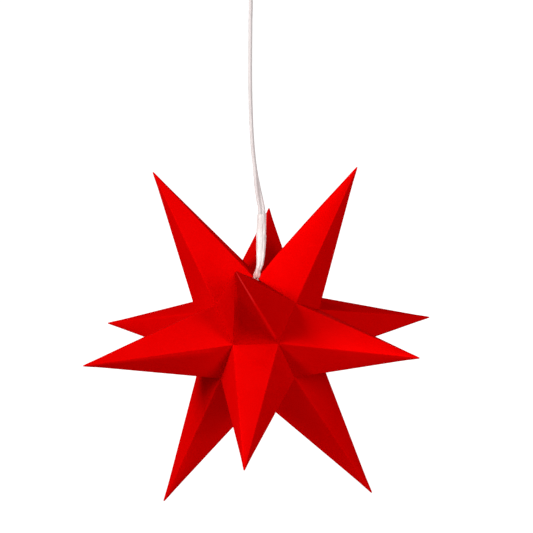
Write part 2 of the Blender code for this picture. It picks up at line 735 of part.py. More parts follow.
def main():
    for old in list(bpy.data.objects):
        bpy.data.objects.remove(old, do_unlink=True)
    finishes = {
        "film": material("film", (0.8, 0.004, 0.006), 0.45),
        "white": material("white", (0.82, 0.81, 0.79), 0.4),
        "sleeve": material("sleeve", (0.84, 0.8, 0.78), 0.35),
        "flex": material("flex", (0.8, 0.76, 0.75), 0.45),
        "frosted": material("frosted", (0.88, 0.86, 0.82), 0.6),
        "clear": material("clear", (0.9, 0.88, 0.6), 0.1),
        "board": material("board", (0.05, 0.25, 0.12), 0.5),
        "resistor": material("resistor", (0.72, 0.58, 0.4), 0.5),
        "brass": material("brass", (0.8, 0.6, 0.25), 0.25, metallic=1.0),
        "rubber": material("rubber", (0.03, 0.03, 0.03), 0.7),
    }
    sleeve = sleeve_line()
    mouth = sleeve[0].xyz
    swing = add_axis("lead_swing_axis", Vector((0, 0, SWING_HEIGHT)))
    turn = add_axis("star_turn_axis", mouth, swing)
    nut_axis = add_axis("nut_turn_axis", Vector((0, 0, FLANGE_FOOT)))

    points = [spot.xyz for spot in sleeve]
    radii = [spot.w for spot in sleeve]
    add_object("joint_sleeve", tube("joint_sleeve", points, radii), finishes["sleeve"], turn)
    add_bead(finishes["white"], turn)
    lamp_top = (bead_centre() - CORNER_WAY * BEAD_RADIUS).z - CORE_TAIL
    board_top = add_lamp(finishes, turn, lamp_top)
    line = core_line(lamp_top, board_top)
    for name, side in (("core_plus", -1), ("core_minus", 1)):
        points = beside(line, side * CORE_SPREAD)
        mesh = tube(name, points, [CORE_WIRE_RADIUS] * len(points), WIRE_SIDES)
        add_object(name, mesh, finishes["flex"], turn)
    way = [line[0] * 2 - line[1], *[spot for spot in line if spot.z > bead_centre().z]]
    core_way = add_object("core_way", tube("core_way", way, [CORE_WAY_RADIUS] * len(way)))
    add_spikes(finishes["film"], turn, core_way)

    add_flex(finishes["flex"], swing, mouth)
    add_insert(finishes)
    add_body(finishes)
    add_nut(finishes["white"], nut_axis)
    add_relief(finishes["flex"])


main()
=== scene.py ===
"""The looks of the red Christmas star: folded film spikes on a twisted twin flex, below a screw coupling.

All lengths are in metres, in the CAD part's own frame.
"""

import math

import bmesh
import bpy
from mathutils import Matrix, Vector, noise


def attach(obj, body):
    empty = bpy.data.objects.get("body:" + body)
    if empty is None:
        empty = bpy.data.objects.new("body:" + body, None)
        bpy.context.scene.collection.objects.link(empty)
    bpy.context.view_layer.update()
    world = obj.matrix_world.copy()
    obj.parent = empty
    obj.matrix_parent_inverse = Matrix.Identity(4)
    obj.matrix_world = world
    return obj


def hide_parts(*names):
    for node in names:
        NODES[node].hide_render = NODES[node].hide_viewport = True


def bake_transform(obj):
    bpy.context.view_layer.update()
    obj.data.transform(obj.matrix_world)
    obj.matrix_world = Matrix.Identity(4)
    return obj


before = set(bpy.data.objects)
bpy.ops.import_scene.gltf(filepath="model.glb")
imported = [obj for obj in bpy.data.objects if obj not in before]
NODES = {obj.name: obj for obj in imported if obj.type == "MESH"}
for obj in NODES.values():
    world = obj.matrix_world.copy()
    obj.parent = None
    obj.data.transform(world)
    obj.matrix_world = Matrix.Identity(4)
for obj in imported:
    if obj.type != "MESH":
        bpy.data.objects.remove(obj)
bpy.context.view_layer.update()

# Sizes and places of the CAD part. Only the sleeve's foot, which reaches 2.5 mm lower here, and the flex's straight
# run into the sleeve's mouth, which is 2 mm shorter, differ from it.
STAR_CENTRE = Vector((0, 0, -0.22))
CORE_RADIUS = 0.03
SLEEVE_RISE = 0.0293
SLEEVE_RADIUS = 0.00225
# The sleeve's middle line, to the right, back and up from the film's corner, and its width
SLEEVE_SHARES = (
    (0.122, 0.229, 1.0, 0.91),
    (0.121, 0.227, 0.95, 0.92),
    (0.113, 0.215, 0.82, 0.955),
    (0.102, 0.188, 0.65, 1.0),
    (0.097, 0.143, 0.464, 0.955),
    (0.083, 0.078, 0.266, 0.78),
    (0.058, 0.044, 0.155, 0.57),
    (0.041, 0.04, 0.115, 0.55),
    (0.04, 0.035, 0.075, 0.67),
    (0.035, 0.02, 0.035, 0.58),
    (0.028, 0.01, 0.012, 0.4),
)
GOLDEN = (1 + math.sqrt(5)) / 2
SPIKE_WAYS = {
    "top_left": (-1, 0, GOLDEN),
    "top_right": (1, 0, GOLDEN),
    "front_high": (0, -GOLDEN, 1),
    "front_low": (0, -GOLDEN, -1),
    "back_high": (0, GOLDEN, 1),
    "back_low": (0, GOLDEN, -1),
    "left_front": (-GOLDEN, -1, 0),
    "left_back": (-GOLDEN, 1, 0),
    "right_front": (GOLDEN, -1, 0),
    "right_back": (GOLDEN, 1, 0),
    "bottom_left": (-1, 0, -GOLDEN),
    "bottom_right": (1, 0, -GOLDEN),
}
SPIKE_AXES = {name: Vector(way).normalized() for name, way in SPIKE_WAYS.items()}
# How far each film corner stands off true, to the right and up, as shares of CORE_RADIUS
CORNER_LEAN_SHARES = {
    ("top_left", "top_right", "back_high"): (-0.016, -0.093),
    ("top_left", "front_high", "left_front"): (-0.027, 0.006),
    ("top_left", "back_high", "left_back"): (-0.002, -0.043),
    ("top_left", "left_front", "left_back"): (-0.045, -0.009),
    ("top_right", "front_high", "right_front"): (0.056, 0.005),
    ("top_right", "back_high", "right_back"): (-0.013, -0.068),
    ("front_high", "front_low", "left_front"): (0.029, 0.021),
    ("front_high", "front_low", "right_front"): (0.02, 0.027),
    ("front_low", "right_front", "bottom_right"): (-0.009, -0.012),
    ("front_low", "bottom_left", "bottom_right"): (-0.015, -0.02),
    ("right_front", "right_back", "bottom_right"): (-0.024, -0.005),
}
CORNER_SPIKES = ("top_left", "top_right", "front_high")
CORNER_WAY = sum((SPIKE_AXES[name] for name in CORNER_SPIKES), Vector()).normalized()
FILM_CORNER = STAR_CENTRE + CORNER_WAY * CORE_RADIUS
MOUTH = FILM_CORNER + Vector(SLEEVE_SHARES[0][:3]) * SLEEVE_RISE
SWING_POINT = Vector((0, 0, -0.0434))
# The flex's straight runs below the hinge and above the sleeve's mouth, and its route between them
FLEX_START = 0.0045
FLEX_END = 0.0025
FLEX_ROUTE = (
    (0.0006, 0.0, -0.0530),
    (0.0017, 0.0, -0.0585),
    (0.00225, 0.0, -0.0640),
    (0.00175, 0.0, -0.0730),
    (0.0013, -0.0002, -0.0822),
    (0.0009, -0.0004, -0.0905),
    (0.00055, -0.0006, -0.0990),
    (0.0003, -0.0010, -0.1091),
    (0.00025, -0.0015, -0.1193),
    (0.00035, -0.0020, -0.1266),
    (0.00065, -0.0025, -0.1336),
    (0.00125, -0.0030, -0.1415),
    (0.0019, -0.0034, -0.1484),
    (0.0026, -0.0037, -0.1540),
)


# Camera

CAMERA_AZIMUTH = math.radians(5.87)
CAMERA_ELEVATION = math.radians(10.59)
CAMERA_ROLL = math.radians(2.41)
CAMERA_DISTANCE = 2.577
CAMERA_NEAR = 0.1
CAMERA_FAR = 30
CAMERA_LENS_MM = 374.8
CAMERA_SENSOR_MM = 36
AIM_RIGHT = 0.00303
AIM_UP = 0.03117


def add_camera():
    """The camera at the photograph's angle, a little above the star and to its right."""
    level = Vector((math.cos(CAMERA_AZIMUTH), math.sin(CAMERA_AZIMUTH), 0))
    ahead = Vector((
        -math.sin(CAMERA_AZIMUTH) * math.cos(CAMERA_ELEVATION),
        math.cos(CAMERA_AZIMUTH) * math.cos(CAMERA_ELEVATION),
        -math.sin(CAMERA_ELEVATION),
    ))
    steep = level.cross(ahead)
    right = level * math.cos(CAMERA_ROLL) - steep * math.sin(CAMERA_ROLL)
    up = level * math.sin(CAMERA_ROLL) + steep * math.cos(CAMERA_ROLL)
    data = bpy.data.cameras.new("camera")
    data.lens = CAMERA_LENS_MM
    data.sensor_width = CAMERA_SENSOR_MM
    data.clip_start = CAMERA_NEAR
    data.clip_end = CAMERA_FAR
    camera = bpy.data.objects.new("camera", data)
    bpy.context.scene.collection.objects.link(camera)
    place = STAR_CENTRE + right * AIM_RIGHT + up * AIM_UP - ahead * CAMERA_DISTANCE
    turn = Matrix((right, up, -ahead)).transposed().to_4x4()
    camera.matrix_world = Matrix.Translation(place) @ turn
    bpy.context.scene.camera = camera


# Mesh helpers

CURVE_STEPS = 10
SHARP_ANGLE = math.radians(40)


def step_up(value, low, high):
    """0 below low, 1 above high and smooth between."""
    t = min(1, max(0, (value - low) / (high - low)))
    return t * t * (3 - 2 * t)


def around(sides):
    """Evenly spaced angles, once round."""
    return [2 * math.pi * k / sides for k in range(sides)]


def smooth_line(points, pitch):
    """Evenly spaced points, about a pitch apart, on a Catmull-Rom curve through the given ones."""
    ends = [points[0] * 2 - points[1], *points, points[-1] * 2 - points[-2]]
    fine = []
    for before, start, end, after in zip(ends, ends[1:], ends[2:], ends[3:]):
        for i in range(CURVE_STEPS):
            t = i / CURVE_STEPS
            slope = (end - before) * t
            bend = (before * 2 - start * 5 + end * 4 - after) * t**2
            turn = (start * 3 - before - end * 3 + after) * t**3
            fine.append((start * 2 + slope + bend + turn) / 2)
    fine.append(points[-1])
    run = [0]
    for start, end in zip(fine, fine[1:]):
        run.append(run[-1] + (end - start).length)
    count = max(2, round(run[-1] / pitch))
    even = [fine[0]]
    at = 0
    for i in range(1, count):
        reach = run[-1] * i / count
        while run[at + 1] < reach:
            at += 1
        even.append(fine[at].lerp(fine[at + 1], (reach - run[at]) / (run[at + 1] - run[at])))
    return even + [fine[-1]]


def add_bands(shape, rows):
    """Joins each row of vertices to the next, all the way round."""
    for lower, upper in zip(rows, rows[1:]):
        for i in range(len(lower)):
            j = (i + 1) % len(lower)
            shape.faces.new((lower[i], lower[j], upper[j], upper[i]))


def add_fan(shape, row, middle):
    """Joins a row of vertices to one in its middle."""
    for i in range(len(row)):
        shape.faces.new((row[i], row[(i + 1) % len(row)], middle))


def loft(rings):
    """Skins a stack of rings with as many points each, and caps both ends."""
    shape = bmesh.new()
    rows = [[shape.verts.new(point) for point in ring] for ring in rings]
    add_bands(shape, rows)
    for row in (rows[0], rows[-1]):
        middle = shape.verts.new(sum((vert.co for vert in row), Vector()) / len(row))
        add_fan(shape, row, middle)
    bmesh.ops.recalc_face_normals(shape, faces=shape.faces[:])
    return shape


def add_piece(name, shape, material, smooth=True):
    """Turns a bmesh into an object with its finish."""
    mesh = bpy.data.meshes.new(name)
    shape.to_mesh(mesh)
    shape.free()
    if smooth:
        mesh.shade_smooth()
        mesh.set_sharp_from_angle(angle=SHARP_ANGLE)
    mesh.materials.append(material)
    made = bpy.data.objects.new(name, mesh)
    bpy.context.scene.collection.objects.link(made)
    return made


# Materials

WHITE = (1, 1, 1)
# Blender's noise stays mostly between these
NOISE_LOW = 0.3
NOISE_HIGH = 0.7
OCTAVES = 3
FEW_OCTAVES = 2


class Nodes:
    """The node tree of a material or world, with short ways to add and join nodes."""

    def __init__(self, owner, shader="Principled BSDF", **values):
        owner.use_nodes = True
        self.owner = owner
        self.tree = owner.node_tree
        self.shader = self.tree.nodes[shader]
        for socket, value in values.items():
            self.set(socket.replace("_", " "), value)

    def feed(self, value, socket):
        """Links another node's output to a socket, or sets a plain value on it."""
        if isinstance(value, bpy.types.NodeSocket):
            self.tree.links.new(value, socket)
        else:
            socket.default_value = value

    def set(self, socket, value):
        """Feeds a socket of the shader."""
        self.feed(value, self.shader.inputs[socket])

    def add(self, kind, inputs=None, **settings):
        """Adds a node, makes its settings and feeds its inputs."""
        made = self.tree.nodes.new(kind)
        for key, value in settings.items():
            setattr(made, key, value)
        for socket, value in (inputs or {}).items():
            self.feed(value, made.inputs[socket])
        return made

    def place(self):
        """The point on the object, in metres."""
        return self.add("ShaderNodeTexCoord").outputs["Object"]

    def noise(self, scale, octaves=OCTAVES):
        """Noise whose grains are about 1 / scale metres wide."""
        inputs = {"Scale": scale, "Detail": octaves, "Vector": self.place()}
        return self.add("ShaderNodeTexNoise", inputs).outputs["Fac"]

    def ramp(self, value, low, dark, high, light):
        """A colour that goes from dark to light as a value goes from low to high."""
        made = self.add("ShaderNodeValToRGB", {"Fac": value})
        for element, place, colour in zip(made.color_ramp.elements, (low, high), (dark, light)):
            element.position = place
            element.color = (*colour, 1)
        return made.outputs["Color"]

    def tones(self, noise_value, dark, light):
        """Noise as a colour between two tones."""
        return self.ramp(noise_value, NOISE_LOW, dark, NOISE_HIGH, light)

    def spread(self, value, low, high, start, end, ease="LINEAR"):
        """A value from low to high, turned into one from start to end."""
        inputs = {"Value": value, "From Min": low, "From Max": high, "To Min": start, "To Max": end}
        return self.add("ShaderNodeMapRange", inputs, interpolation_type=ease).outputs["Result"]

    def maths(self, operation, value, other):
        """One sum with two values."""
        return self.add("ShaderNodeMath", {0: value, 1: other}, operation=operation).outputs[0]

    def mix(self, share, under, over, blend="MIX"):
        """One colour mixed over another by a share."""
        inputs = {"Factor": share, "A": under, "B": over}
        return self.add("ShaderNodeMix", inputs, data_type="RGBA", blend_type=blend).outputs["Result"]

    def choose(self, share, under, over):
        """One shader where the share is 0, and the other where it is 1."""
        return self.add("ShaderNodeMixShader", {0: share, 1: under, 2: over}).outputs[0]

    def bump(self, height, distance, strength):
        """A fine relief in the surface."""
        inputs = {"Height": height, "Distance": distance, "Strength": strength}
        return self.add("ShaderNodeBump", inputs).outputs["Normal"]

    def seen(self):
        """1 for what the camera sees, directly or in gloss or glass, and 0 for light on the object."""
        rays = self.add("ShaderNodeLightPath").outputs
        value = rays["Is Camera Ray"]
        for ray in ("Is Glossy Ray", "Is Transmission Ray"):
            value = self.maths("MAXIMUM", value, rays[ray])
        return value


FILM_DARK = (0.575, 0.0, 0.0)
FILM_LIGHT = (0.605, 0.0006, 0.0006)
FILM_METALLIC = 0.05
FILM_SHINE = (1, 0.2, 0.2)
FILM_MOTTLE = 60
FILM_ROUGHNESS = (0.34, 0.42)
FILM_SMEAR = 350
FILM_GRAIN = 2200
FILM_GRAIN_DEPTH = 0.00002
FILM_GRAIN_STRENGTH = 0.6
# Painted highlight: the folds are mixed towards a paler red, and the lit fold's upper part towards white, for the
# light that rounded folds catch
FOLD_HIGHLIGHT_COLOUR = (0.95, 0.001, 0.001)
FOLD_HIGHLIGHT_SHARE = 0.8
GLINT_SHARPNESS = 12
GLINT_STRENGTH = 0.018


def film_material():
    """Satin polypropylene film with a very fine grain. Its folds are paler: partly the film's own whitening, partly a
    painted highlight. The fold that catches the light carries a strong painted highlight and a pale painted glint.
    """
    made = bpy.data.materials.new("film")
    film = Nodes(made, Metallic=FILM_METALLIC, Specular_IOR_Level=0, Specular_Tint=(*FILM_SHINE, 1))
    plain = film.tones(film.noise(FILM_MOTTLE), FILM_DARK, FILM_LIGHT)
    fold_highlight = film.add("ShaderNodeAttribute", attribute_name="fold_highlight").outputs["Fac"]
    highlight_share = film.maths("MULTIPLY", fold_highlight, FOLD_HIGHLIGHT_SHARE)
    glint = film.maths("MULTIPLY", film.maths("POWER", fold_highlight, GLINT_SHARPNESS), GLINT_STRENGTH)
    # Painted highlight and painted glint along the folds
    highlit_base = film.mix(highlight_share, plain, (*FOLD_HIGHLIGHT_COLOUR, 1))
    film.set("Base Color", film.mix(glint, highlit_base, (*WHITE, 1)))
    film.set("Roughness", film.spread(film.noise(FILM_SMEAR), NOISE_LOW, NOISE_HIGH, *FILM_ROUGHNESS))
    film.set("Normal", film.bump(film.noise(FILM_GRAIN, FEW_OCTAVES), FILM_GRAIN_DEPTH, FILM_GRAIN_STRENGTH))
    return film.owner


MOTTLE = 90
SMEAR = 300
ROUGHNESS_SPREAD = 0.05
GRAIN_DEPTH = 0.00001
GRAIN_STRENGTH = 0.5
# Painted shade and painted red bounce light: the flex, cores and sleeve grow darker and pinker towards the film's
# corner, below these heights above it
FOOT_SHADE_AND_RED_BOUNCE = (0.8, 0.46, 0.43)
FOOT_SHADE_LOW = 0.0015
FOOT_SHADE_HIGH = 0.0066
# Each finish's light tone, dark tone, roughness, scale of grain, whether its foot near the film's corner gets painted
# shade and painted red bounce light, and further values
FINISHES = {
    "flex": ((0.66, 0.60, 0.59), (0.62, 0.56, 0.55), 0.42, 900, True, {"Specular_IOR_Level": 0.35}),
    "sleeve": ((0.70, 0.65, 0.63), (0.66, 0.61, 0.59), 0.3, 900, True, {"Specular_IOR_Level": 0.45}),
    "white": ((0.70, 0.69, 0.67), (0.66, 0.65, 0.63), 0.38, 900, False, {"Specular_IOR_Level": 0.4}),
    "board": ((0.05, 0.25, 0.12), (0.04, 0.2, 0.1), 0.45, 600, False, {}),
    "resistor": ((0.72, 0.58, 0.4), (0.66, 0.52, 0.36), 0.45, 900, False, {}),
    "contacts": ((0.82, 0.62, 0.28), (0.74, 0.55, 0.22), 0.25, 900, False, {"Metallic": 1.0}),
    "seal": ((0.035, 0.035, 0.035), (0.025, 0.025, 0.025), 0.6, 900, False, {}),
    "frosted": ((0.88, 0.86, 0.82), (0.84, 0.82, 0.78), 0.6, 900, False, {"Transmission_Weight": 0.35}),
    "clear": ((0.9, 0.88, 0.6), (0.88, 0.84, 0.5), 0.1, 900, False, {"Transmission_Weight": 0.5}),
}


def finish_material(name):
    """Plastic, rubber, lacquer or brass: two close tones, and a fine grain in its surface. Near the film's corner its
    foot can be darkened and reddened: painted shade and painted red bounce light from the film.
    """
    light, dark, roughness, grain, shaded_foot, values = FINISHES[name]
    made = Nodes(bpy.data.materials.new(name), **values)
    colour = made.tones(made.noise(MOTTLE), dark, light)
    # Painted shade and painted red bounce light, darker and pinker towards the film's corner
    if shaded_foot:
        height = made.add("ShaderNodeSeparateXYZ", {0: made.place()}).outputs["Z"]
        low = FILM_CORNER.z + FOOT_SHADE_LOW
        high = FILM_CORNER.z + FOOT_SHADE_HIGH
        rise = made.spread(height, low, high, 0, 1, "SMOOTHSTEP")
        colour = made.mix(1, colour, made.ramp(rise, 0, FOOT_SHADE_AND_RED_BOUNCE, 1, WHITE), "MULTIPLY")
    made.set("Base Color", colour)
    ends = (roughness - ROUGHNESS_SPREAD, roughness + ROUGHNESS_SPREAD)
    made.set("Roughness", made.spread(made.noise(SMEAR), NOISE_LOW, NOISE_HIGH, *ends))
    made.set("Normal", made.bump(made.noise(grain, FEW_OCTAVES), GRAIN_DEPTH, GRAIN_STRENGTH))
    return made.owner


# Cord

FLEX_CORE = 0.00086
FLEX_CORE_OFFSET = 0.00084
FLEX_WEB_HALF = 0.0004
FLEX_PITCH = 0.0012
FLEX_SINK = 0.001
FLEX_TOP = -0.0405
FLEX_TWIST_LOW = math.radians(15)
FLEX_TWIST_HIGH = math.radians(90)
FLEX_TWIST_START = 0.001
FLEX_TWIST_LENGTH = 0.024
FLEX_ARC_STEPS = 12


def flex_points():
    """The flex's middle line, from inside the sleeve's mouth up into the strain relief."""
    route = [
        MOUTH - Vector((0, 0, FLEX_SINK)),
        MOUTH + Vector((0, 0, FLEX_END)),
        *[Vector(point) for point in FLEX_ROUTE[::-1]],
        SWING_POINT - Vector((0, 0, FLEX_START)),
        SWING_POINT,
        Vector((0, 0, FLEX_TOP)),
    ]
    return smooth_line(route, FLEX_PITCH)


def flex_section():
    """The outline of two round cores with a web between them, as (across, through) points."""
    turn = math.pi - math.asin(FLEX_WEB_HALF / FLEX_CORE)
    outline = []
    for side in (1, -1):
        for i in range(FLEX_ARC_STEPS + 1):
            angle = -turn + 2 * turn * i / FLEX_ARC_STEPS
            across = FLEX_CORE_OFFSET + FLEX_CORE * math.cos(angle)
            outline.append((side * across, side * FLEX_CORE * math.sin(angle)))
    return outline


def add_flex(material):
    """The twin flex, edge-on at the top and turned nearly flat to the front at the sleeve."""
    points = flex_points()
    rings = []
    reach = 0
    for i, point in enumerate(points):
        before = points[max(i - 1, 0)]
        reach += (point - before).length
        ahead = (points[min(i + 1, len(points) - 1)] - before).normalized()
        share = step_up(reach, FLEX_TWIST_START, FLEX_TWIST_START + FLEX_TWIST_LENGTH)
        turn = FLEX_TWIST_LOW + (FLEX_TWIST_HIGH - FLEX_TWIST_LOW) * share
        across = Vector((math.cos(turn), math.sin(turn), 0))
        across = (across - ahead * across.dot(ahead)).normalized()
        through = ahead.cross(across)
        rings.append([point + across * a + through * b for a, b in flex_section()])
    flex = add_piece("twin_flex", loft(rings), material)
    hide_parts("lead_flex")
    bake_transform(flex)
    return flex, points


# Sleeve and strain relief

SLEEVE_PITCH = 0.0004
SLEEVE_SIDES = 48
SLEEVE_BORE = 0.0018
SLEEVE_BORE_DEPTH = 0.0022
# Its two lobes start a little below its mouth, and are flatter from front to back, with a waist between them
LOBES_START = 0.03
LOBES_END = 0.25
LOBES_FLATNESS = 0.86
WAIST_DEPTH = 0.13
WAIST_SHARPNESS = 3
WAIST_TURN = math.radians(32)
# Its wrinkles: how deep they are, where they start, how close they lie round and along it, and the finer ones on them
WRINKLE_DEPTH = 0.00016
WRINKLES_END = 0.08
WRINKLES_ROUND = 1.6
WRINKLES_ALONG = 11
FINE_WRINKLES = 2.3
FINE_WRINKLE_DEPTH = 0.5


def add_sleeve(material):
    """The heat-shrink sleeve, shrunk over two soldered joints: two lobes with wrinkles, and an open mouth."""
    line = []
    for *place, width in SLEEVE_SHARES:
        line.append(Vector((*(FILM_CORNER + Vector(place) * SLEEVE_RISE), width * SLEEVE_RADIUS)))
    points = smooth_line(line, SLEEVE_PITCH)
    rings = []
    for depth in (SLEEVE_BORE_DEPTH, 0):
        ring = [Vector((math.cos(a) * SLEEVE_BORE, -math.sin(a) * SLEEVE_BORE, -depth)) for a in around(SLEEVE_SIDES)]
        rings.append([points[0].xyz + point for point in ring])
    for i, spot in enumerate(points):
        ahead = (points[min(i + 1, len(points) - 1)] - points[max(i - 1, 0)]).xyz.normalized()
        across = (Vector((1, 0, 0)) - ahead * ahead.x).normalized()
        through = ahead.cross(across)
        share = i / (len(points) - 1)
        lobes = step_up(share, LOBES_START, LOBES_END)
        flat = 1 - (1 - LOBES_FLATNESS) * lobes
        ring = []
        for angle in around(SLEEVE_SIDES):
            waist = math.exp(-((math.cos(angle + WAIST_TURN) * WAIST_SHARPNESS) ** 2))
            width = spot.w * (1 - WAIST_DEPTH * lobes * waist)
            way = across * math.cos(angle) + through * math.sin(angle) * flat
            sample = Vector((
                math.cos(angle) * WRINKLES_ROUND,
                math.sin(angle) * WRINKLES_ROUND,
                share * WRINKLES_ALONG,
            ))
            fold = noise.noise(sample) + FINE_WRINKLE_DEPTH * noise.noise(sample * FINE_WRINKLES)
            width += WRINKLE_DEPTH * fold * step_up(share, 0.0, WRINKLES_END)
            ring.append(spot.xyz + way * width)
        rings.append(ring)
    sleeve = add_piece("shrink_sleeve", loft(rings), material)
    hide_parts("joint_sleeve")
    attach(sleeve, "star")
    return sleeve


RELIEF_SPIGOT_TOP = -0.0221
RELIEF_TOP = -0.0263
RELIEF_FOOT = -0.0440
RELIEF_SPIGOT = 0.0028
RELIEF_TOP_RADIUS = 0.0042
RELIEF_FOOT_RADIUS = 0.0029
RELIEF_SIDES = 56
RELIEF_BORE = 0.0019
RELIEF_BORE_TOP = -0.024
RELIEF_ROUND = 0.0003
RELIEF_SLOTS = 6
RELIEF_SLOT_DEPTH = 0.00125
RELIEF_SLOT_HEIGHT = 0.0011
RELIEF_SLOT_ROUND = 0.0001
# The bridge between a ring's two slots, and how far round the slots reach their full depth
RELIEF_BRIDGE = math.radians(26)
RELIEF_BRIDGE_END = math.radians(32.5)


def relief_radius(height):
    """The strain relief's taper."""
    share = (RELIEF_TOP - height) / (RELIEF_TOP - RELIEF_FOOT)
    return RELIEF_TOP_RADIUS + (RELIEF_FOOT_RADIUS - RELIEF_TOP_RADIUS) * share


def relief_ring(height, radius, cut=None):
    """A ring of the strain relief, slotted on both sides of a bridge where one is given."""
    points = []
    for angle in around(RELIEF_SIDES):
        depth = 0
        if cut is not None:
            off = abs(math.remainder(angle - cut, math.pi))
            depth = RELIEF_SLOT_DEPTH * step_up(off, RELIEF_BRIDGE, RELIEF_BRIDGE_END)
        points.append(Vector((math.cos(angle) * (radius - depth), math.sin(angle) * (radius - depth), height)))
    return points


def add_relief(material):
    """The strain relief: a soft taper, slotted from alternate sides; this mesh itself stays straight."""
    rings = [
        relief_ring(RELIEF_SPIGOT_TOP, RELIEF_SPIGOT),
        relief_ring(RELIEF_TOP, RELIEF_SPIGOT),
        relief_ring(RELIEF_TOP, RELIEF_TOP_RADIUS - RELIEF_ROUND),
        relief_ring(RELIEF_TOP - RELIEF_ROUND, RELIEF_TOP_RADIUS),
    ]
    pitch = (RELIEF_TOP - RELIEF_FOOT) / (RELIEF_SLOTS + 1)
    for slot in range(RELIEF_SLOTS):
        middle = RELIEF_TOP - pitch * (slot + 1)
        upper = middle + RELIEF_SLOT_HEIGHT / 2
        lower = middle - RELIEF_SLOT_HEIGHT / 2
        cut = math.pi / 2 * (slot % 2)
        rings += [
            relief_ring(upper + RELIEF_SLOT_ROUND, relief_radius(upper)),
            relief_ring(upper, relief_radius(upper), cut),
            relief_ring(lower, relief_radius(lower), cut),
            relief_ring(lower - RELIEF_SLOT_ROUND, relief_radius(lower)),
        ]
    rings += [
        relief_ring(RELIEF_FOOT + RELIEF_ROUND, RELIEF_FOOT_RADIUS),
        relief_ring(RELIEF_FOOT, RELIEF_FOOT_RADIUS - RELIEF_ROUND),
        relief_ring(RELIEF_FOOT, RELIEF_BORE + RELIEF_ROUND),
        relief_ring(RELIEF_FOOT + RELIEF_ROUND, RELIEF_BORE),
        relief_ring(RELIEF_BORE_TOP, RELIEF_BORE),
    ]
    relief = add_piece("slotted_relief", loft(rings), material)
    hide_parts("strain_relief")
    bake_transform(relief)
    return relief


# Spikes

PANELS = 5
SEAM = 0.00002
FILM = 0.0004
# The film's inner skin: its distance from the true panels at its foot, how far its foot is lifted, and its height
INNER_SET = 0.00043
INNER_LIFT = 0.00007
INNER_SHARE = 0.96
# The folds between panels: their radius, which is smaller at the foot and where there is no room
FOLD_RADIUS = 0.0005
FOLD_FOOT = 0.00012
FOLD_LEAST = 0.00006
FOLD_FULL_SHARE = 0.2
FOLD_ROOM_SHARE = 0.4
FOLD_STEPS = 4
FOLD_REACH = 1 / math.cos(math.pi / PANELS) - 1
TIP_BLUNT = 0.014
TIP_BLUNT_SHARE = 0.85
TIP_SHARE = 0.999
# How far panels bow out: the mean, how much it varies, and how the noise is sampled for a spike and a panel
PANEL_BOW = 0.0003
PANEL_BOW_SPREAD = 1.4
BOW_SAMPLES = (7, 5, 9)
BOW_SAMPLE_STEP = 3.1
# Panels that have buckled: each one's spike and the spike that it faces, the neighbour at whose corner the fold
# line starts, how far up the other ridge it ends, and how far the panel stands out along it and is dented below it
BUCKLES = {
    ("front_high", "front_low"): ("right_front", 0.72, 0.0024, 0.0042),
    ("left_front", "front_low"): ("bottom_left", 0.17, 0.0053, 0.0009),
}
DEEPEST_SHARE = 0.18
BUCKLE_EDGE_SHARE = 0.12
# The cord pushes one spike's corner aside
PUSHED_AXIS = SPIKE_AXES["top_right"]
PUSH = Vector((0.0009, 0, 0.0001))
PUSH_END_SHARE = 0.22
SAME_WAY = 0.99
TAB_WIDTH = 0.005
TAB_MITRE = 0.0054
# The points of a spike's skin across a panel, and its rows from the foot to the tip
PANEL_SHARES = (0.07, 0.16, 0.28, 0.4, 0.52, 0.64, 0.76, 0.86, 0.94)
LEVEL_SHARES = (
    0, 0.012, 0.035, 0.07, 0.11, 0.16, 0.22, 0.29, 0.36, 0.43,
    0.5, 0.57, 0.64, 0.72, 0.81, 0.89, 0.95, 0.98, 0.992,
)
PER_SIDE = FOLD_STEPS + 1 + len(PANEL_SHARES)
# The painted highlight along the folds, partly also the film's own whitening there: faint on every fold, and strong
# on the one fold that catches the light, strongest in its upper part, as shares of its length
FOLD_PALENESS_AND_HIGHLIGHT = 0.09
HIGHLIT_FOLD = ("front_high", "front_low", "right_front")
HIGHLIGHT_START_SHARE = 0.02
HIGHLIGHT_END_SHARE = 0.1
HIGHLIGHT_LOW = 0.8
HIGHLIGHT_HIGH_START_SHARE = 0.45
HIGHLIGHT_HIGH_END_SHARE = 0.65
# How far each real tip stands from the CAD's, to the right and up
TIP_MOVES = {
    "top_left": (-0.00043, 0.00099),
    "top_right": (0.00008, 0.00029),
    "back_high": (-0.0003, 0.0004),
    "left_back": (-0.00055, 0.00026),
    "right_back": (0.0008, 0.00021),
    "left_front": (-0.0003, -0.00016),
    "right_front": (0.00053, -0.00022),
    "bottom_left": (-0.00045, -0.0005),
    "bottom_right": (0.00029, -0.00044),
    "front_low": (-0.00006, -0.00042),
}
CORD_OPENING = 0.0014


def film_corner(axes):
    """The corner where three spikes meet, from the star's centre."""
    corner = sum(axes, Vector()).normalized() * CORE_RADIUS
    for names, (right, up) in CORNER_LEAN_SHARES.items():
        if all(SPIKE_AXES[name] in axes for name in names):
            corner += Vector((right, 0, up)) * CORE_RADIUS
    return corner


def base_corners(axis):
    """The corners that a spike stands on, in order round the spike, from the star's centre."""
    others = [other for other in SPIKE_AXES.values() if other != axis]
    near = sorted(others, key=lambda other: -other.dot(axis))[:PANELS]
    side = axis.orthogonal().normalized()
    near.sort(key=lambda other: math.atan2(other.dot(axis.cross(side)), other.dot(side)))
    return [film_corner((axis, near[i], near[(i + 1) % PANELS])) for i in range(PANELS)]


def fold_arcs(peaks, radius):
    """The rounded folds at a row's peaks, each from the panel before it to the panel after it."""
    arcs = []
    for i, peak in enumerate(peaks):
        back = (peaks[i - 1] - peak).normalized()
        on = (peaks[(i + 1) % PANELS] - peak).normalized()
        half = back.angle(on) / 2
        hub = peak + (back + on).normalized() * radius / math.sin(half)
        first = peak + back * radius / math.tan(half) - hub
        last = peak + on * radius / math.tan(half) - hub
        arcs.append([hub + first.slerp(last, k / FOLD_STEPS) * radius for k in range(FOLD_STEPS + 1)])
    return arcs


